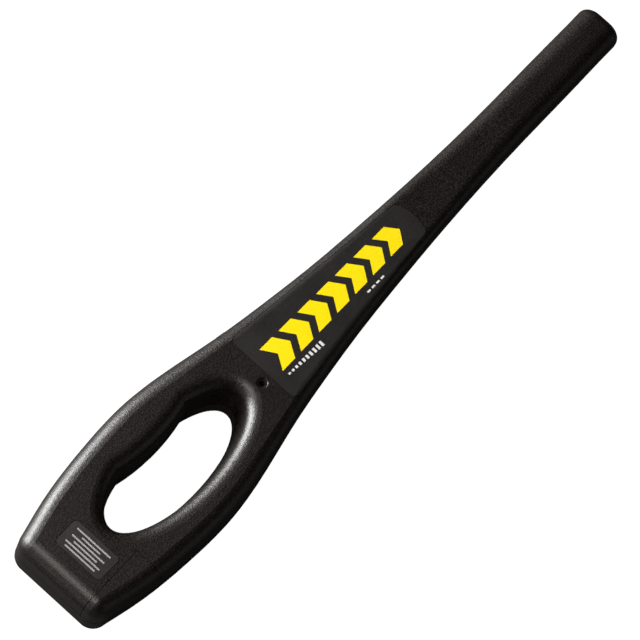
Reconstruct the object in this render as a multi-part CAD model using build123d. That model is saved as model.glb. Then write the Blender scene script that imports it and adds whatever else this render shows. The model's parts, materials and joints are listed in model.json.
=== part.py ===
from build123d import *
import os
from math import cos, degrees, atan2, pi, radians, sin, sqrt

os.makedirs("parts", exist_ok=True)

# Hand-held security metal-detector wand.
# +X runs from the butt of the handle to the tip of the bar, +Y is the side
# that carries the controls, +Z is the face with the label.
# The origin is under the middle of the wand, on the plane it rests on.

# ---------------------------------------------------------------- dimensions
LENGTH = 508.0
HALF_T = 20.5            # half thickness of the handle
WALL = 2.4               # shell wall
SEAM = 0.12              # half of the visible gap between the two shells
BUTT_R = 10.0            # rounding round the butt end
TIP_R = 5.5              # rounding round the tip end

# stations of the body: x, half width, half thickness, corner radius
STATIONS = [
    (0.0, 32.9, 20.6, 11.0),
    (18.0, 36.4, 20.6, 11.0),
    (36.0, 40.3, 20.6, 11.0),
    (72.0, 44.5, 20.6, 11.0),
    (108.0, 45.4, 20.6, 11.0),
    (144.0, 40.6, 20.6, 11.0),
    (180.0, 33.2, 20.6, 9.5),
    (216.0, 27.6, 19.4, 7.8),
    (252.0, 23.2, 17.8, 6.8),
    (288.0, 20.2, 16.2, 6.4),
    (324.0, 17.8, 14.8, 6.4),
    (360.0, 16.2, 13.7, 8.0),
    (396.0, 15.4, 13.0, 9.8),
    (432.0, 15.25, 12.6, 10.5),
    (470.0, 15.2, 12.5, 10.8),
    (LENGTH, 15.2, 12.5, 10.8),
]

# hand hole
HOLE_X = 101.4           # middle of the hole at the parting plane
HOLE_A = 54.1            # half length at the parting plane
HOLE_B = 20.1            # half width at the parting plane
HOLE_SHIFT = 2.2         # how far the middle moves towards the tip at the crease
HOLE_FLARE_A = 2.4       # how much longer the half length is at the crease
HOLE_FLARE_B = 1.9       # how far the upper inner wall leans back, sides
HOLE_FLARE_SWELL = 1.2   # how far it leans back along the palm swell
HOLE_CREASE = 10.0       # height of the crease above the parting plane
HOLE_R = 9.5             # roll-off round the hole
SWELL_X = 107.0          # palm swell on the control side
SWELL_Y = 14.2           # its lowest point
SWELL_R = 130.0          # its radius in plan

# battery door: the upper rear corner on the side away from the controls
DOOR_X = 45.6
DOOR_Y = -21.0
DOOR_GAP = 0.3

# rating plate
PLATE = (25.6, 0.0, 18.4, 34.4, 2.6)     # centre x, y, length, width, radius

# face label, a trapezium with rounded corners
LABEL_X0 = 179.7
LABEL_X1 = 317.7
LABEL_W0 = 25.9          # half width at the handle end
LABEL_W1 = 12.7          # half width at the tip end
LABEL_R = 3.6
LABEL_BOW = 3.0

# earphone jack
JACK = (173.3, -5.5)
JACK_HOLE_R = 3.1
JACK_BORE_R = 1.8
JACK_DEPTH = 14.0

# main board
PCB_X0 = 179.0
PCB_X1 = 322.0
PCB_W0 = 26.0
PCB_W1 = 13.0
PCB_Z = -3.1             # underside of the board
PCB_T = 1.6
PCB_TOP = PCB_Z + PCB_T

# battery
BAT = (25.0, -2.6, 9.1)
BAT_SIZE = (26.2, 46.4, 17.0)

# speaker
SPK = (212.0, 0.0)
SPK_R = 17.0

# search coil
COIL_X0 = 345.0
COIL_X1 = 499.0

# ribs that hold the coil former
COIL_RIBS = (366.0, 428.0, 485.0)

# vibration motor
MOTOR = (112.0, 34.5, -1.0)

# case screws: x, y, underside level, seat level, top of the screw
SCREWS = [
    (13.5, 28.3, -20.5, -15.5, 8.0),
    (7.9, -12.5, -20.5, -15.5, 8.0),
    (149.0, 28.3, -20.5, -15.5, 8.0),
    (149.0, -28.3, -20.5, -15.5, 8.0),
    (332.0, 0.0, -14.6, -10.8, 6.5),
    (475.0, 0.0, -12.6, -9.0, 5.5),
]


# ------------------------------------------------------------------- helpers
def block(x0, x1, y0, y1, z0, z1):
    """A plain box between the given limits."""
    centre = ((x0 + x1) / 2, (y0 + y1) / 2, (z0 + z1) / 2)
    return Pos(*centre) * Box(x1 - x0, y1 - y0, z1 - z0)


def rod(x, y, z0, z1, r):
    """An upright cylinder."""
    return Pos(x, y, (z0 + z1) / 2) * Cylinder(r, z1 - z0)


def wire(points, r):
    """A round lead through the given points."""
    path = Spline(*points)
    section = Plane(origin=path @ 0, z_dir=path % 0) * Circle(r)
    return sweep(section, path=path)


def hull(inset):
    """The outer form of the wand, drawn in by an even amount."""
    sections = []
    for x, w, t, r in STATIONS:
        x_in = min(max(x, inset), LENGTH - inset)
        plane = Plane(origin=(x_in, 0, 0), x_dir=(0, 1, 0), z_dir=(1, 0, 0))
        shape = RectangleRounded(2 * (w - inset), 2 * (t - inset), r - inset)
        sections.append(plane * shape)
    body = loft(sections)
    level = HALF_T - inset
    body = body & block(-10, LENGTH + 10, -60, 60, -level, level)
    ends = body.faces().sort_by(Axis.X)
    body = fillet(ends[0].edges(), BUTT_R - inset)
    ends = body.faces().sort_by(Axis.X)
    return fillet(ends[-1].edges(), max(TIP_R - inset, 1.5))


def hole_face(lean, grow):
    """Plan of the hand hole: an ellipse with the palm swell taken out.

    lean is 0 at the parting plane and 1 at the crease.
    """
    half_length = HOLE_A + lean * HOLE_FLARE_A + grow
    half_width = HOLE_B + lean * HOLE_FLARE_B + grow
    oval = Pos(HOLE_X + lean * HOLE_SHIFT, 0) * Ellipse(half_length, half_width)
    swell = Pos(SWELL_X, SWELL_Y + SWELL_R) * Circle(SWELL_R - lean * HOLE_FLARE_SWELL - grow)
    return oval - swell


def half(body, z_sign):
    """One half of a body, above or below the parting plane."""
    if z_sign > 0:
        return body & block(-20, 530, -60, 60, 0, 40)
    return body & block(-20, 530, -60, 60, -40, 0)


def pierce(body, face, level, r):
    """Cut the hand hole through a half body and round its outer edge."""
    cut = body - extrude(face, 40, both=True)
    rim = cut.edges().filter_by(
        lambda e: abs(abs(e.bounding_box().min.Z) - level) < 1e-3
        and abs(abs(e.bounding_box().max.Z) - level) < 1e-3
        and e.bounding_box().min.X > HOLE_X - 70
        and e.bounding_box().max.X < HOLE_X + 70
        and abs(e.center().Y) < 28
    )
    return fillet(rim, r)


def side_frame(x, z):
    """Frame on the control side: x along the edge, z outwards."""
    hits = outer.find_intersection_points(Axis((x, 0, z), (0, 1, 0)))
    point, normal = max(hits, key=lambda hit: hit[0].Y)
    out = Vector(normal.X, normal.Y, 0).normalized()
    return Plane(origin=point, x_dir=(out.Y, -out.X, 0), z_dir=out)


def rounded_plate(x, y, length, width, r, z0, z1):
    """A plate with rounded corners."""
    face = Pos(x, y, z0) * RectangleRounded(length, width, r)
    return extrude(face, z1 - z0)


def racetrack(x0, x1, half_width, z0, z1):
    """A slot-shaped prism along the bar."""
    middle = (x0 + x1) / 2
    face = Pos(middle, 0, z0) * SlotOverall(x1 - x0, 2 * half_width)
    return extrude(face, z1 - z0)


# -------------------------------------------------------------- body forms
outer = hull(0)
inner = hull(WALL)
core = hull(1.0)         # keeps ribs and bosses from showing through
lip_out = hull(1.45)
rebate_out = hull(1.35)

switch_at = side_frame(184.0, 2.0)
button_at = side_frame(200.5, 2.0)
led_green_at = side_frame(214.8, 4.0)
led_amber_at = side_frame(226.5, 4.0)
led_red_at = side_frame(238.0, 4.0)

# openings in the control side
switch_slot = switch_at * Box(12.6, 5.0, 12)
button_hole = button_at * Cylinder(3.28, 12)
led_holes = [at * Cylinder(1.56, 12) for at in (led_green_at, led_amber_at, led_red_at)]

# ------------------------------------------------------------- upper shell
upper_out = pierce(half(outer, 1), hole_face(1, 0), HALF_T, HOLE_R)
upper_in = pierce(half(inner, 1), hole_face(1, WALL), HALF_T - WALL, HOLE_R - WALL)
upper_skin = upper_out - upper_in

# inner wall of the hand hole, leaning back to the crease
wall_ring = extrude(Pos(0, 0, SEAM) * hole_face(1, 0.5), HOLE_CREASE - SEAM)
wall_cut = loft([hole_face(0, 0), Pos(0, 0, HOLE_CREASE) * hole_face(1, 0)], ruled=True)
upper_skin = upper_skin + (wall_ring - wall_cut)

door_zone = block(-5, DOOR_X, -60, DOOR_Y, -1, 40)
upper_shell = upper_skin - door_zone

# bosses and ribs
upper_fill = [rod(x, y, 0.6, 19, 3.4) for x, y, under, seat, top in SCREWS]
upper_fill = upper_fill + [block(x - 1, x + 1, -14, 14, 6.2, 14) for x in COIL_RIBS]
upper_shell = upper_shell + [solid & core for solid in upper_fill]

# rebate for the lip of the lower shell
rebate_slab = block(-5, 520, -60, 60, -1, 1.35)
rebate = (rebate_out & rebate_slab) - (inner & rebate_slab)

# jack hole with a light chamfer
jack_cut = rod(JACK[0], JACK[1], 15, 22, JACK_HOLE_R)
jack_cut = jack_cut + Pos(JACK[0], JACK[1], HALF_T - 0.3) * Cone(JACK_HOLE_R, JACK_HOLE_R + 0.6, 0.7)
plate_recess = rounded_plate(
    PLATE[0], PLATE[1], PLATE[2] + 0.8, PLATE[3] + 0.8, PLATE[4] + 0.4, HALF_T - 0.5, HALF_T + 1
)
pilots = [rod(x, y, 0, top + 0.5, 1.55) for x, y, under, seat, top in SCREWS]
upper_shell = upper_shell - ([rebate, jack_cut, switch_slot, button_hole, plate_recess] + led_holes + pilots)


def label_face(grow):
    """Plan of the face label."""
    x0 = LABEL_X0 - grow
    x1 = LABEL_X1 + grow
    w0 = LABEL_W0 + grow
    w1 = LABEL_W1 + grow
    edges = [
        Line((x0, w0), (x1, w1)),
        ThreePointArc((x1, w1), (x1 + LABEL_BOW, 0), (x1, -w1)),
        Line((x1, -w1), (x0, -w0)),
        Line((x0, -w0), (x0, w0)),
    ]
    face = make_face(edges)
    return fillet(face.vertices(), LABEL_R + grow)


label_recess = extrude(label_face(0.3), 40) - hull(0.5)
upper_shell = upper_shell - [label_recess, block(-20, 530, -60, 60, -5, SEAM)]

# --------------------------------------------------------------- face label
face_label = (extrude(label_face(0), 40) & hull(0.1)) - hull(0.47)

# ------------------------------------------------------------- rating plate
rating_plate = rounded_plate(*PLATE, HALF_T - 0.47, HALF_T - 0.1)

# ------------------------------------------------------------- battery door
battery_door = upper_skin & block(-5, DOOR_X - DOOR_GAP, -60, DOOR_Y - DOOR_GAP, DOOR_GAP, 40)
# tongue that hooks under the upper shell, clear of the battery as the door slides
tongue = block(40, DOOR_X - DOOR_GAP, -31.0, -26.8, 16.6, 18.4) + block(40, DOOR_X + 4, -31.0, -26.8, 16.6, 17.9)
battery_door = battery_door + (tongue & core)
# two stiffening ribs inside the door
for x in (9.0, 44.0):
    battery_door = battery_door + (block(x - 0.6, x + 0.6, -40, -30, 4, 19) & core & block(-5, 48, -60, -30, 0.5, 40))

# -------------------------------------------------------------- lower shell
lower_out = pierce(half(outer, -1), hole_face(0, 0), HALF_T, HOLE_R)
lower_in = pierce(half(inner, -1), hole_face(0, WALL), HALF_T - WALL, HOLE_R - WALL)
lower_shell = lower_out - lower_in

# bosses, ribs under the battery, pad under the motor bracket
lower_fill = [rod(x, y, under, 0.5, 3.4) for x, y, under, seat, top in SCREWS]
lower_fill = lower_fill + [rod(x, y, under, seat + 2.0, 4.8) for x, y, under, seat, top in SCREWS]
lower_fill = lower_fill + [block(x - 1, x + 1, -25, 22, -19.5, 0.4) for x in (17.0, 32.0)]
lower_fill.append(block(104, 120, 29.0, 39.5, -19.5, -16.5))

# speaker seat
seat_ring = rod(SPK[0], SPK[1], -19.5, -11.0, 18.8) - rod(SPK[0], SPK[1], -14.5, -10.0, SPK_R + 0.15)
seat_ring = seat_ring - rod(SPK[0], SPK[1], -20, -10, 14.5)
lower_fill.append(seat_ring)

# posts under the board, ribs under the coil former
PCB_POSTS = [(187.0, 16.0), (187.0, -16.0), (306.0, 9.5), (306.0, -9.5)]
lower_fill = lower_fill + [rod(x, y, -19.5, PCB_Z - 0.05, 2.6) for x, y in PCB_POSTS]
lower_fill = lower_fill + [block(x - 1, x + 1, -14, 14, -14, -6.2) for x in COIL_RIBS]
lower_shell = (lower_shell - block(-20, 530, -60, 60, -SEAM, 1.0)) + [solid & core for solid in lower_fill]

# locating lip, left out where the battery door slides
lip_slab = block(-5, 520, -60, 60, -1.2, 1.15)
lip = (lip_out & lip_slab) - (inner & lip_slab)
lip = lip - block(-5, DOOR_X + 3, -60, DOOR_Y + 3, -SEAM, 5)
lower_shell = lower_shell + lip

# screw holes, board screw holes, sound holes and side openings
lower_cuts = [rod(x, y, -25, seat, 3.3) for x, y, under, seat, top in SCREWS]
lower_cuts = lower_cuts + [rod(x, y, -25, 1, 1.55) for x, y, under, seat, top in SCREWS]
lower_cuts = lower_cuts + [rod(x, y, PCB_Z - 7.5, PCB_Z, 1.25) for x, y in PCB_POSTS]
for ring, count in ((0.0, 1), (4.2, 6), (8.4, 12), (12.2, 18)):
    for i in range(count):
        a = 2 * pi * i / count
        lower_cuts.append(rod(SPK[0] + ring * cos(a), SPK[1] + ring * sin(a), -25, -14, 1.1))
lower_shell = lower_shell - (lower_cuts + [switch_slot, button_hole])

# ---------------------------------------------------------------- side controls
switch_body = switch_at * (block(-6.8, 6.8, -3.3, 3.3, -10.8, -5.1) - block(-4.4, 4.4, -1.3, 1.3, -8.4, -5.0))
thumb = fillet(block(-3, 3, -2.3, 2.3, -4.9, 1.7).faces().sort_by(Axis.Z)[-1].edges(), 0.5)
for x in (-1.6, 0.0, 1.6):
    thumb = thumb - Pos(x, 0, 1.8) * Rot(90, 0, 0) * Cylinder(0.45, 6)
switch_knob = switch_at * (thumb + block(-1.2, 1.2, -1.2, 1.2, -8.0, -4.8))

cap = Pos(0, 0, -1.0) * Cylinder(3.2, 3.6)
cap = fillet(cap.faces().sort_by(Axis.Z)[-1].edges(), 0.5)
cap = cap + Pos(0, 0, -3.2) * Cylinder(4.0, 1.0) + Pos(0, 0, -5.4) * Cylinder(1.2, 4.0)
mode_button = button_at * cap
tact_switch = button_at * (block(-3, 3, -3.3, 3.0, -10.0, -6.2) - Pos(0, 0, -7.6) * Cylinder(1.27, 3.4))


def led(at, reach):
    """A 3 mm lamp with a domed end and two bent legs to the board."""
    lens = Pos(0, 0, (reach - 1.5 - 6) / 2) * Cylinder(1.5, reach - 1.5 + 6)
    lens = lens + Pos(0, 0, reach - 1.5) * Sphere(1.5) + Pos(0, 0, -5.5) * Cylinder(1.9, 1.0)
    for x in (-0.7, 0.7):
        lens = lens + block(x - 0.25, x + 0.25, -0.25, 0.25, -8.0, -5.9)
        lens = lens + block(x - 0.25, x + 0.25, -0.25, 4.0 - PCB_TOP - 0.05, -8.0, -7.5)
    return at * lens


led_green = led(led_green_at, 1.3)
led_amber = led(led_amber_at, -0.2)
led_red = led(led_red_at, -0.2)

# --------------------------------------------------------------------- jack
jack_body = block(JACK[0] - 3.9, JACK[0] + 3.9, JACK[1] - 4.2, JACK[1] + 4.2, 3.2, 17.9)
jack_body = jack_body - rod(JACK[0], JACK[1], 4.4, 19, JACK_BORE_R + 0.45)
jack_bush = rod(JACK[0], JACK[1], 17.95, 19.3, JACK_HOLE_R - 0.1) + rod(JACK[0], JACK[1], 4.6, 18.2, JACK_BORE_R + 0.4)
jack_bush = jack_bush - rod(JACK[0], JACK[1], 19.3 - JACK_DEPTH, 20, JACK_BORE_R)
jack_leads = []
for i in range(3):
    y = JACK[1] - 2 + 2 * i
    jack_leads.append(wire([(JACK[0], y, 2.8), (JACK[0] + 2, y, 0.6), (PCB_X0 + 1.5, y, PCB_TOP + 0.7)], 0.4))

# --------------------------------------------------------------- main board
edges = [
    Line((PCB_X0, PCB_W0), (PCB_X1, PCB_W1)),
    Line((PCB_X1, PCB_W1), (PCB_X1, -PCB_W1)),
    Line((PCB_X1, -PCB_W1), (PCB_X0, -PCB_W0)),
    Line((PCB_X0, -PCB_W0), (PCB_X0, PCB_W0)),
]
main_board = extrude(Pos(0, 0, PCB_Z) * make_face(edges), PCB_T)
board_screws = []
for x, y in PCB_POSTS:
    main_board = main_board - rod(x, y, PCB_Z - 1, PCB_TOP + 1, 1.3)
    screw = rod(x, y, PCB_Z - 6.5, PCB_TOP + 0.1, 1.2) + rod(x, y, PCB_TOP + 0.02, PCB_TOP + 1.3, 2.1)
    board_screws.append(screw - block(x - 1.5, x + 1.5, y - 0.3, y + 0.3, PCB_TOP + 0.7, PCB_TOP + 2))

TOP = PCB_TOP + 0.05     # parts stand a solder gap above the board
B = PCB_X0               # board parts are placed from the board's wide end
microcontroller = block(B + 50, B + 64, -5, 5, TOP + 0.3, TOP + 2.5)
for i in range(9):
    x = B + 51.0 + 1.5 * i
    for s in (-1, 1):
        foot = block(x - 0.25, x + 0.25, 4.9, 6.2, TOP, TOP + 0.9)
        microcontroller = microcontroller + (foot if s > 0 else mirror(foot, about=Plane.XZ))
amplifier = block(B + 26, B + 31, -8, -4, TOP + 0.2, TOP + 1.8)
for i in range(4):
    x = B + 26.6 + 1.27 * i
    amplifier = amplifier + block(x - 0.2, x + 0.2, -9, -3, TOP, TOP + 0.7)
crystal = racetrack(0, 11.0, 2.3, TOP, TOP + 3.6)
crystal = Pos(B + 68, 0) * crystal
trimmer_body = block(B + 88, B + 97, -11, -2, TOP, TOP + 4.6) - rod(B + 92.5, -6.5, TOP + 2.9, TOP + 5, 2.45)
trimmer_rotor = rod(B + 92.5, -6.5, TOP + 3.0, TOP + 5.2, 2.4) - block(B + 90.5, B + 94.5, -6.8, -6.2, TOP + 4.4, TOP + 6)
transformer = block(B + 102, B + 115, -6.0, 6.0, TOP + 0.8, TOP + 8.8) + rod(B + 108.5, 0, TOP, TOP + 9.6, 4.6)
transformer = transformer + block(B + 101, B + 116, -6.6, 6.6, TOP, TOP + 1.2)
coil_socket = block(B + 134.5, B + 141, -4.8, 4.8, TOP, TOP + 6.0) - block(B + 137, B + 142, -3.8, 3.8, TOP + 1.0, TOP + 4.6)
capacitors = []
for dx, y, r, h in ((18, -10, 4.0, 10.5), (18, 2, 4.0, 10.5), (40, -15, 3.1, 8.0), (76, -10.5, 3.1, 8.0)):
    x = B + dx
    can = rod(x, y, TOP, TOP + h, r)
    can = fillet(can.faces().sort_by(Axis.Z)[-1].edges(), 0.5)
    ring = rod(x, y, TOP + 1.4, TOP + 2.0, r + 1) - rod(x, y, TOP + 1, TOP + 3, r - 0.25)
    cross = block(x - r * 0.6, x + r * 0.6, y - 0.15, y + 0.15, TOP + h - 0.3, TOP + h + 1)
    capacitors.append(can - ring - cross)
chips = []
for i in range(7):
    x = B + 34.0 + 9.5 * i
    chips.append(block(x, x + 2.0, 10.0 - 0.9 * i, 11.3 - 0.9 * i, TOP, TOP + 0.7))
    chips.append(block(x + 3.4, x + 5.4, 10.0 - 0.9 * i, 11.3 - 0.9 * i, TOP, TOP + 0.7))
for i in range(5):
    y = -6.0 + 3.0 * i
    chips.append(block(B + 118.5, B + 120.0, y - 1.0, y + 1.0, TOP, TOP + 0.8))

# ------------------------------------------------------------------ speaker
x, y = SPK
speaker_gasket = rod(x, y, -14.45, -13.9, SPK_R - 0.1) - rod(x, y, -15, -13, 15.0)
speaker_frame = rod(x, y, -13.85, -8.6, SPK_R) - rod(x, y, -14, -9.6, SPK_R - 1.3) - rod(x, y, -10, -8, 7.1)
for i in range(6):
    a = 2 * pi * i / 6
    speaker_frame = speaker_frame - rod(x + 11.2 * cos(a), y + 11.2 * sin(a), -10, -8, 2.4)
speaker_magnet = rod(x, y, -10.6, -5.6, 7.0)
profile = Polyline(
    (0, -12.2), (3.5, -12.9), (4.2, -11.3), (14.2, -13.3), (15.5, -13.3), (15.5, -12.9),
    (14.4, -12.9), (4.0, -10.8), (3.2, -12.2), (0, -11.7), close=True,
)
cone_face = make_face([edge for edge in profile.edges()])
cone_face = Rot(90, 0, 0) * cone_face
speaker_cone = Pos(x, y, 0) * revolve(cone_face, Axis.Z)
speaker_leads = []
for s in (-1, 1):
    speaker_leads.append(wire([(x - 10, 10 + s, -7.9), (x - 12, 11 + s, -6), (x - 13.5, 12 + s, PCB_Z - 0.4)], 0.45))

# ---------------------------------------------------------- vibration motor
mx, my, mz = MOTOR
motor_can = Pos(mx, my, mz) * Rot(0, 90, 0) * Cylinder(3.5, 14)
motor_can = motor_can - Pos(mx - 6, my, mz) * Rot(0, 90, 0) * Cylinder(0.55, 4)
motor_weight = Pos(mx - 8.5, my, mz) * Rot(0, 90, 0) * Cylinder(0.5, 7)
swing = Pos(mx - 10, my, mz) * Rot(0, 90, 0) * Cylinder(3.2, 4)
motor_weight = motor_weight + (swing & block(mx - 20, mx, my - 5, my + 5, mz - 5, mz + 0.6))
motor_bracket = block(mx - 5, mx + 6, my - 4.5, my + 4.0, -16.45, mz - 0.2)
motor_bracket = motor_bracket - Pos(mx, my, mz) * Rot(0, 90, 0) * Cylinder(3.55, 40)
motor_leads = []
for s in (-1, 1):
    motor_leads.append(
        wire(
            [
                (mx + 7.3, my + s, mz), (130, 34 + s, -2), (148, 34.2 + s, -4), (162, 27 + s, -3),
                (172, 17 + s, -1.5), (PCB_X0 + 1.3, 11 + s, PCB_TOP + 0.8),
            ],
            0.45,
        )
    )

# ------------------------------------------------------------------ battery
bx, by, bz = BAT
bl, bw, bh = BAT_SIZE
battery = block(bx - bl / 2, bx + bl / 2, by - bw / 2, by + bw / 2, bz - bh / 2, bz + bh / 2)
battery = fillet(battery.edges().filter_by(Axis.Y), 1.2)
end = by + bw / 2
stud = Pos(bx - 6.35, end + 0.85, bz) * Rot(90, 0, 0) * Cylinder(2.9, 1.6)
cup = Pos(bx + 6.35, end + 0.85, bz) * Rot(90, 0, 0) * (Cylinder(3.9, 1.6) - Cylinder(2.6, 3))
battery_terminals = [stud, cup]
battery_snap = block(bx - 11.8, bx + 11.8, end + 0.3, end + 3.7, bz - 6.5, bz + 6.5)
battery_snap = fillet(battery_snap.edges().filter_by(Axis.Y), 2.0)
battery_snap = battery_snap - Pos(bx - 6.35, end, bz) * Rot(90, 0, 0) * Cylinder(3.0, 3.5)
battery_snap = battery_snap - Pos(bx + 6.35, end, bz) * Rot(90, 0, 0) * Cylinder(4.0, 3.5)
battery_leads = []
for i in range(2):
    dz = 2.0 * i
    battery_leads.append(
        wire(
            [
                (22.0 + 6 * i, end + 4.9, bz), (29 + 5 * i, end + 9.5, 5 + dz), (46, 30.5, -5 - dz),
                (70, 28, -10 - dz), (104, 25.2, -11 - dz), (128, 23.4, -10 - dz), (148, 18.6, -8 - dz),
                (163, 12, -3.5 - dz), (173, 7 + 2 * i, 0.4), (PCB_X0 + 1.4, 4.5 + 2.5 * i, 0.4),
            ],
            0.7,
        )
    )
battery_pad = block(14.5, 33.0, -15, 15, bz + bh / 2 + 0.05, HALF_T - WALL - 0.05)

# -------------------------------------------------------------- search coil
coil_former = racetrack(COIL_X0, COIL_X1, 11.5, -4, 4) - racetrack(COIL_X0 + 4.9, COIL_X1 - 4.9, 6.6, -5, 5)
groove = racetrack(COIL_X0 - 1, COIL_X1 + 1, 12.5, -2.8, 2.8)
groove = groove - racetrack(COIL_X0 + 3.2, COIL_X1 - 3.2, 8.3, -5, 5)
coil_former = coil_former - groove
search_coil = racetrack(COIL_X0 + 0.7, COIL_X1 - 0.7, 10.8, -2.7, 2.7)
search_coil = search_coil - racetrack(COIL_X0 + 3.1, COIL_X1 - 3.1, 8.4, -5, 5)
coil_leads = []
for s in (-1, 1):
    coil_leads.append(
        wire([(320.3, 2.0 * s, 1.0), (326, 5.5 * s, 0.5), (333, 7.5 * s, 0), (339.5, 5.5 * s, 0), (345.1, 2.0 * s, 0)], 0.6)
    )
coil_pads = []
for x in COIL_RIBS:
    coil_pads.append(block(x - 4, x + 4, -10.5, -7.0, 4.05, 6.15))
    coil_pads.append(block(x - 4, x + 4, 7.0, 10.5, 4.05, 6.15))
    coil_pads.append(block(x - 4, x + 4, -10.5, -7.0, -6.15, -4.05))
    coil_pads.append(block(x - 4, x + 4, 7.0, 10.5, -6.15, -4.05))

# --------------------------------------------------------------- case screws
case_screws = []
for x, y, under, seat, top in SCREWS:
    screw = rod(x, y, seat - 2.2, seat, 2.9) + rod(x, y, seat - 0.1, top, 1.5)
    slot = block(x - 1.8, x + 1.8, y - 0.4, y + 0.4, seat - 4, seat - 1.1)
    slot = slot + block(x - 0.4, x + 0.4, y - 1.8, y + 1.8, seat - 4, seat - 1.1)
    case_screws.append(screw - slot)

# -------------------------------------------------------------------- export
PARTS = {
    "upper_shell": upper_shell,
    "lower_shell": lower_shell,
    "battery_door": battery_door,
    "face_label": face_label,
    "rating_plate": rating_plate,
    "switch_body": switch_body,
    "switch_knob": switch_knob,
    "mode_button": mode_button,
    "tact_switch": tact_switch,
    "led_green": led_green,
    "led_amber": led_amber,
    "led_red": led_red,
    "jack_body": jack_body,
    "jack_bush": jack_bush,
    "jack_leads": Compound(jack_leads),
    "main_board": main_board,
    "board_screws": Compound(board_screws),
    "microcontroller": microcontroller,
    "amplifier": amplifier,
    "crystal": crystal,
    "trimmer_body": trimmer_body,
    "trimmer_rotor": trimmer_rotor,
    "transformer": transformer,
    "coil_socket": coil_socket,
    "capacitors": Compound(capacitors),
    "chips": Compound(chips),
    "speaker_gasket": speaker_gasket,
    "speaker_frame": speaker_frame,
    "speaker_magnet": speaker_magnet,
    "speaker_cone": speaker_cone,
    "speaker_leads": Compound(speaker_leads),
    "motor_can": motor_can,
    "motor_weight": motor_weight,
    "motor_bracket": motor_bracket,
    "motor_leads": Compound(motor_leads),
    "battery": battery,
    "battery_terminals": Compound(battery_terminals),
    "battery_snap": battery_snap,
    "battery_leads": Compound(battery_leads),
    "battery_pad": battery_pad,
    "coil_former": coil_former,
    "search_coil": search_coil,
    "coil_leads": Compound(coil_leads),
    "coil_pads": Compound(coil_pads),
    "case_screws": Compound(case_screws),
}

for name, shape in PARTS.items():
    shape = Pos(-LENGTH / 2, 0, HALF_T) * shape
    export_step(shape, f"parts/{name}.step")
    box = shape.bounding_box()
    print(f"{name:18s} solids {len(shape.solids()):3d}  volume {shape.volume:10.1f}  z {box.min.Z:6.1f} {box.max.Z:6.1f}")
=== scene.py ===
import math

import bmesh
import bpy
from mathutils import Matrix, Vector
from mathutils.bvhtree import BVHTree
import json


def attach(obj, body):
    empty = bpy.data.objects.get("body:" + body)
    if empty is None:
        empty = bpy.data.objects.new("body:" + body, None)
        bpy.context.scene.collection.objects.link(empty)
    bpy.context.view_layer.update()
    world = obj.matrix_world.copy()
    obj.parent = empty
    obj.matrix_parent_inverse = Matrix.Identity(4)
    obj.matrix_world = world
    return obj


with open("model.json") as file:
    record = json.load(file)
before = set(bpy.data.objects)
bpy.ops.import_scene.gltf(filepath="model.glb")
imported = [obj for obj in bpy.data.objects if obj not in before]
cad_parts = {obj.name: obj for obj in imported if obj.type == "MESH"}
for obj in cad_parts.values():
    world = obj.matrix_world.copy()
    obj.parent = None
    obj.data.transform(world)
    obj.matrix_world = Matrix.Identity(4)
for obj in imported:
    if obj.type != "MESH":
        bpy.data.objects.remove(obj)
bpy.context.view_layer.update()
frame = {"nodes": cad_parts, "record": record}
NODES = frame["nodes"]
RECORD = frame["record"]
HALF_LENGTH = 0.254      # the row origin is this far from the butt
MID_Z = 0.0205           # height of the parting plane


# ------------------------------------------------------------------ materials
def new_material(name):
    mat = bpy.data.materials.new(name)
    mat.use_nodes = True
    tree = mat.node_tree
    tree.nodes.clear()
    out = tree.nodes.new("ShaderNodeOutputMaterial")
    shader = tree.nodes.new("ShaderNodeBsdfPrincipled")
    tree.links.new(shader.outputs[0], out.inputs[0])
    return mat, tree, shader


def noise(tree, coords, scale, detail=3.0, rough=0.55):
    n = tree.nodes.new("ShaderNodeTexNoise")
    n.inputs["Scale"].default_value = scale
    n.inputs["Detail"].default_value = detail
    n.inputs["Roughness"].default_value = rough
    tree.links.new(coords, n.inputs["Vector"])
    return n.outputs["Fac"]


def ramp(tree, value, low, high, a, b):
    r = tree.nodes.new("ShaderNodeMapRange")
    r.inputs["From Min"].default_value = low
    r.inputs["From Max"].default_value = high
    r.inputs["To Min"].default_value = a
    r.inputs["To Max"].default_value = b
    tree.links.new(value, r.inputs["Value"])
    return r.outputs["Result"]


def mix_color(tree, factor, a, b):
    m = tree.nodes.new("ShaderNodeMix")
    m.data_type = "RGBA"
    for socket, value in ((m.inputs["A"], a), (m.inputs["B"], b)):
        if isinstance(value, tuple):
            socket.default_value = (value[0], value[1], value[2], 1.0)
        else:
            tree.links.new(value, socket)
    tree.links.new(factor, m.inputs["Factor"])
    return m.outputs["Result"]


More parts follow.
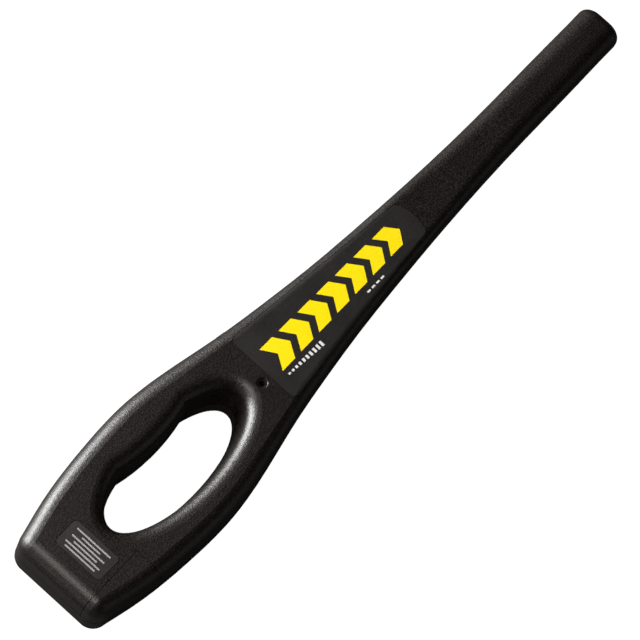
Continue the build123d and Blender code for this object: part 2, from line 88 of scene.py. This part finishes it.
def surface(name, color, rough=0.5, metal=0.0, grain=900.0, bump=0.15, spread=0.18, wear=0.25,
            wear_color=None, patch=45.0, depth=0.00012, coat=0.0, alpha=None, glow=0.0):
    """A worked-up surface: mottled colour, uneven roughness, grain and rubbed patches."""
    mat, tree, shader = new_material(name)
    coords = tree.nodes.new("ShaderNodeTexCoord").outputs["Object"]
    fine = noise(tree, coords, grain, 2.0)
    broad = noise(tree, coords, patch, 4.0)
    dark = tuple(c * (1 - spread) for c in color)
    light = tuple(min(1.0, c * (1 + spread) + 0.01 * spread) for c in color)
    mottled = mix_color(tree, ramp(tree, fine, 0.35, 0.65, 0, 1), dark, light)
    worn = wear_color or tuple(min(1.0, c * 1.3 + 0.01) for c in color)
    rubbed = ramp(tree, broad, 0.52, 0.78, 0.0, wear)
    base = mix_color(tree, rubbed, mottled, worn)
    tree.links.new(base, shader.inputs["Base Color"])
    uneven = ramp(tree, broad, 0.3, 0.7, rough + 0.06, rough - 0.06)
    tree.links.new(uneven, shader.inputs["Roughness"])
    shader.inputs["Metallic"].default_value = metal
    shader.inputs["Coat Weight"].default_value = coat
    b = tree.nodes.new("ShaderNodeBump")
    b.inputs["Strength"].default_value = bump
    b.inputs["Distance"].default_value = depth
    tree.links.new(fine, b.inputs["Height"])
    tree.links.new(b.outputs["Normal"], shader.inputs["Normal"])
    if alpha is not None:
        shader.inputs["Transmission Weight"].default_value = 1.0 - alpha
        shader.inputs["IOR"].default_value = 1.49
    if glow:
        tree.links.new(base, shader.inputs["Emission Color"])
        shader.inputs["Emission Strength"].default_value = glow
    return mat


def moulded_black():
    """Grained black shell plastic: fine pits over a brown-grey speckle."""
    mat, tree, shader = new_material("shell_plastic_look")
    coords = tree.nodes.new("ShaderNodeTexCoord").outputs["Object"]
    fine = noise(tree, coords, 1150.0, 2.0, 0.6)
    coarse = noise(tree, coords, 520.0, 2.0, 0.5)
    broad = noise(tree, coords, 26.0, 4.0)
    speck = mix_color(tree, ramp(tree, fine, 0.44, 0.66, 0, 1), (0.0006, 0.0005, 0.0005), (0.019, 0.0140, 0.0108))
    hands = ramp(tree, broad, 0.50, 0.80, 0.0, 0.2)
    plain = mix_color(tree, hands, speck, (0.006, 0.005, 0.0045))
    # painted shade: a near-black band with almost no specular along the parting seam at MID_Z, standing in for the
    # shade in the gap between the two shells
    split = tree.nodes.new("ShaderNodeSeparateXYZ")
    tree.links.new(coords, split.inputs[0])
    away = tree.nodes.new("ShaderNodeMath")
    away.operation = "SUBTRACT"
    away.inputs[1].default_value = MID_Z
    tree.links.new(split.outputs["Z"], away.inputs[0])
    size = tree.nodes.new("ShaderNodeMath")
    size.operation = "ABSOLUTE"
    tree.links.new(away.outputs[0], size.inputs[0])
    seam_shade = ramp(tree, size.outputs[0], 0.00015, 0.00045, 1.0, 0.0)
    base = mix_color(tree, seam_shade, plain, (0.0005, 0.0005, 0.0005))
    tree.links.new(base, shader.inputs["Base Color"])
    tree.links.new(ramp(tree, seam_shade, 0.0, 1.0, 0.5, 0.05), shader.inputs["Specular IOR Level"])
    tree.links.new(ramp(tree, broad, 0.3, 0.7, 0.42, 0.36), shader.inputs["Roughness"])
    first = tree.nodes.new("ShaderNodeBump")
    first.inputs["Strength"].default_value = 0.55
    first.inputs["Distance"].default_value = 0.00030
    tree.links.new(fine, first.inputs["Height"])
    second = tree.nodes.new("ShaderNodeBump")
    second.inputs["Strength"].default_value = 0.2
    second.inputs["Distance"].default_value = 0.0004
    tree.links.new(coarse, second.inputs["Height"])
    tree.links.new(first.outputs["Normal"], second.inputs["Normal"])
    tree.links.new(second.outputs["Normal"], shader.inputs["Normal"])
    return mat


LOOKS = {
    "shell_plastic": moulded_black(),
    "label_film": surface("label_film_look", (0.0055, 0.0044, 0.0038), 0.50, grain=1300, bump=0.16, spread=0.45, wear=0.15),
    "plate_film": surface("plate_film_look", (0.0085, 0.0072, 0.0065), 0.52, grain=1500, bump=0.12, spread=0.35, wear=0.2),
    "control_plastic": surface("control_plastic_look", (0.005, 0.005, 0.005), 0.36, grain=700, bump=0.08, wear=0.4),
    "component_plastic": surface("component_plastic_look", (0.02, 0.02, 0.022), 0.45, grain=1600, bump=0.12),
    "lens_green": surface("lens_green_look", (0.02, 0.55, 0.10), 0.15, bump=0.02, alpha=0.9, glow=1.8, coat=0.5),
    "lens_amber": surface("lens_amber_look", (0.75, 0.32, 0.02), 0.15, bump=0.02, alpha=0.7, coat=0.5),
    "lens_red": surface("lens_red_look", (0.60, 0.02, 0.02), 0.15, bump=0.02, alpha=0.7, coat=0.5),
    "jack_metal": surface("jack_metal_look", (0.012, 0.012, 0.012), 0.25, 0.0, grain=2500, bump=0.05, spread=0.1),
    "board": surface("board_look", (0.02, 0.13, 0.05), 0.35, grain=2200, bump=0.1, spread=0.25, coat=0.3),
    "screw_steel": surface("screw_steel_look", (0.42, 0.42, 0.44), 0.34, 1.0, grain=2600, bump=0.08, spread=0.12),
    "can_metal": surface("can_metal_look", (0.62, 0.62, 0.64), 0.30, 1.0, grain=2600, bump=0.06, spread=0.08),
    "winding": surface("winding_look", (0.62, 0.24, 0.08), 0.30, 0.9, grain=900, bump=0.1, spread=0.15),
    "foam": surface("foam_look", (0.03, 0.03, 0.03), 0.9, grain=1800, bump=0.6, spread=0.4, depth=0.0004),
    "cone": surface("cone_look", (0.52, 0.47, 0.36), 0.4, grain=1500, bump=0.1, spread=0.1),
    "magnet_metal": surface("magnet_metal_look", (0.55, 0.54, 0.52), 0.28, 1.0, grain=2000, bump=0.05, spread=0.08),
    "former_plastic": surface("former_plastic_look", (0.66, 0.62, 0.52), 0.5, grain=1200, bump=0.12, spread=0.08),
    "battery_wrap": surface("battery_wrap_look", (0.06, 0.062, 0.07), 0.33, 0.6, grain=1800, bump=0.06, spread=0.1),
    "lead_red": surface("lead_red_look", (0.42, 0.02, 0.015), 0.42, grain=1500, bump=0.08),
    "lead_black": surface("lead_black_look", (0.012, 0.012, 0.012), 0.42, grain=1500, bump=0.08),
}
YELLOW = surface("print_yellow", (0.82, 0.64, 0.0), 0.42, grain=1400, bump=0.08, spread=0.08, wear=0.1)
WHITE = surface("print_white", (0.62, 0.62, 0.62), 0.5, grain=1400, bump=0.08, spread=0.10, wear=0.1)
GREY = surface("print_grey", (0.26, 0.255, 0.25), 0.5, grain=1400, bump=0.08, spread=0.15, wear=0.1)


def add_windings(mat, pitch):
    """Turns of wire as fine ridges round the coil."""
    tree = mat.node_tree
    shader = next(n for n in tree.nodes if n.type == "BSDF_PRINCIPLED")
    coords = tree.nodes.new("ShaderNodeTexCoord").outputs["Object"]
    wave = tree.nodes.new("ShaderNodeTexWave")
    wave.bands_direction = "Z"
    wave.inputs["Scale"].default_value = 0.314 / pitch
    tree.links.new(coords, wave.inputs["Vector"])
    b = tree.nodes.new("ShaderNodeBump")
    b.inputs["Strength"].default_value = 0.8
    b.inputs["Distance"].default_value = 0.0002
    tree.links.new(wave.outputs["Fac"], b.inputs["Height"])
    tree.links.new(b.outputs["Normal"], shader.inputs["Normal"])


add_windings(LOOKS["winding"], 0.0006)

SLOT_OF = {s["node"]: s["material_slot"] for s in RECORD["subparts"]}
for name, obj in NODES.items():
    look = LOOKS[SLOT_OF[name]]
    obj.data.materials.clear()
    obj.data.materials.append(look)
    for poly in obj.data.polygons:
        poly.material_index = 0


# ------------------------------------------------------------ printed pieces
graph = bpy.context.evaluated_depsgraph_get()
label_tree = BVHTree.FromObject(NODES["face_label"], graph)
plate_tree = BVHTree.FromObject(NODES["rating_plate"], graph)


def printed(name, outline, tree, mat, lift=0.00002, thick=0.00004, steps=6):
    """A thin layer of ink with the given outline, laid on a surface."""
    mesh = bpy.data.meshes.new(name)
    bm = bmesh.new()
    verts = [bm.verts.new((x, y, 0)) for x, y in outline]
    bm.faces.new(verts)
    bmesh.ops.triangulate(bm, faces=bm.faces[:])
    bmesh.ops.subdivide_edges(bm, edges=bm.edges[:], cuts=steps, use_grid_fill=True)
    if sum(f.normal.z for f in bm.faces) < 0:
        bmesh.ops.reverse_faces(bm, faces=bm.faces[:])
    ok = True
    for v in bm.verts:
        hit = tree.ray_cast(Vector((v.co.x, v.co.y, 0.2)), Vector((0, 0, -1)))
        if hit[0] is None:
            ok = False
            break
        v.co.z = hit[0].z + lift
    if not ok:
        bm.free()
        return None
    geom = bmesh.ops.extrude_face_region(bm, geom=bm.faces[:])
    for v in geom["geom"]:
        if isinstance(v, bmesh.types.BMVert):
            v.co.z += thick
    bmesh.ops.recalc_face_normals(bm, faces=bm.faces[:])
    bm.to_mesh(mesh)
    bm.free()
    mesh.materials.append(mat)
    obj = bpy.data.objects.new(name, mesh)
    bpy.context.scene.collection.objects.link(obj)
    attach(obj, "wand")
    return obj


def row(x):
    """Distance from the butt, in mm, to row-frame metres."""
    return x / 1000.0 - HALF_LENGTH


# seven bold chevrons that lean towards the tip and shrink with the label
count = 7
x_start, x_end = 187.6, 307.0
pitch = (x_end - x_start) / count
for i in range(count):
    x0 = x_start + pitch * i
    h = 9.3 - 0.25 * i
    w = pitch * 0.66
    lean = pitch * 0.36
    pts = [(x0, h), (x0 + w, h), (x0 + w + lean, 0), (x0 + w, -h), (x0, -h), (x0 + lean, 0)]
    printed("label_chevron_%d" % i, [(row(a), b / 1000.0) for a, b in pts], label_tree, YELLOW)

# short level bars beside them
for i in range(10):
    x0 = 188.5 + 3.1 * i
    h = 1.2 + 0.28 * i
    pts = [(x0, -12.6), (x0 + 1.7, -12.6), (x0 + 1.7, -12.6 - h), (x0, -12.6 - h)]
    printed("label_bar_%02d" % i, [(row(a), b / 1000.0) for a, b in pts], label_tree, WHITE)
for i in range(4):
    x0 = 262.0 + 4.2 * i
    pts = [(x0, -12.2), (x0 + 2.6, -12.2), (x0 + 2.6, -13.4), (x0, -13.4)]
    printed("label_dash_%d" % i, [(row(a), b / 1000.0) for a, b in pts], label_tree, WHITE)

# grey lines across the rating plate
lengths = [11.5, 13.0, 9.0, 12.4, 7.0, 12.8]
for i, half in enumerate(lengths):
    x0 = 18.6 + 2.45 * i
    pts = [(x0, half), (x0 + 1.0, half), (x0 + 1.0, -half), (x0, -half)]
    printed("plate_line_%d" % i, [(row(a), b / 1000.0) for a, b in pts], plate_tree, GREY)

# ------------------------------------------------------------ floor and light
bpy.ops.mesh.primitive_plane_add(size=6.0, location=(0, 0, -0.0005))
floor = bpy.context.object
floor.name = "floor"
mat, tree, shader = new_material("floor_look")
shader.inputs["Base Color"].default_value = (0.05, 0.05, 0.05, 1)
shader.inputs["Roughness"].default_value = 0.9
shader.inputs["Emission Color"].default_value = (1, 1, 1, 1)
seen = tree.nodes.new("ShaderNodeLightPath").outputs["Is Camera Ray"]
tree.links.new(ramp(tree, seen, 0, 1, 0.0, 1.0), shader.inputs["Emission Strength"])
floor.data.materials.append(mat)


def softbox(name, place, target, size, power, color=(1, 1, 1)):
    light = bpy.data.lights.new(name, "AREA")
    light.shape = "RECTANGLE"
    light.size, light.size_y = size
    light.energy = power
    light.color = color
    obj = bpy.data.objects.new(name, light)
    bpy.context.scene.collection.objects.link(obj)
    obj.location = place
    obj.rotation_euler = (Vector(target) - Vector(place)).to_track_quat("-Z", "Y").to_euler()
    return obj


softbox("key_side", (-0.35, 1.2, 0.38), (-0.15, 0, 0.02), (1.1, 0.6), 70)
softbox("top_fill", (-0.85, 0.35, 1.45), (0, 0, 0), (0.45, 0.45), 12, (1.0, 0.93, 0.86))
softbox("butt_side", (-1.4, 0.1, 0.25), (0, 0, 0.02), (0.5, 0.2), 0.8)
softbox("low_side", (0.2, -1.4, 0.3), (0, 0, 0.02), (1.6, 0.3), 0.8)

world = bpy.data.worlds.new("studio")
world.use_nodes = True
world.node_tree.nodes["Background"].inputs[0].default_value = (1, 1, 1, 1)
world.node_tree.nodes["Background"].inputs[1].default_value = 0.02
bpy.context.scene.world = world

# --------------------------------------------------------------------- camera
TILT = math.radians(22.0)
LEAN = math.radians(5.5)
DISTANCE = 2.5
FOCAL_PX = 4178.0
toward = Vector((-math.sin(TILT), -math.sin(LEAN), 0))
toward.z = math.sqrt(1 - toward.x ** 2 - toward.y ** 2)
centre = Vector((0, 0, MID_Z))
along = (Vector((1, 0, 0)) - toward.x * toward).normalized()
across = toward.cross(along)
ROLL = math.radians(45.9)
right = along * math.cos(ROLL) - across * math.sin(ROLL)
up = along * math.sin(ROLL) + across * math.cos(ROLL)
camera_data = bpy.data.cameras.new("camera")
camera = bpy.data.objects.new("camera", camera_data)
bpy.context.scene.collection.objects.link(camera)
place = centre + toward * DISTANCE
camera.matrix_world = Matrix((
    (right.x, up.x, toward.x, place.x),
    (right.y, up.y, toward.y, place.y),
    (right.z, up.z, toward.z, place.z),
    (0, 0, 0, 1),
))
camera_data.sensor_width = 36.0
camera_data.lens = 36.0 * FOCAL_PX / 640.0
camera_data.shift_x = -0.0275
camera_data.shift_y = -0.0361
camera_data.clip_end = 20
bpy.context.scene.camera = camera
bpy.context.scene.view_settings.view_transform = "Standard"
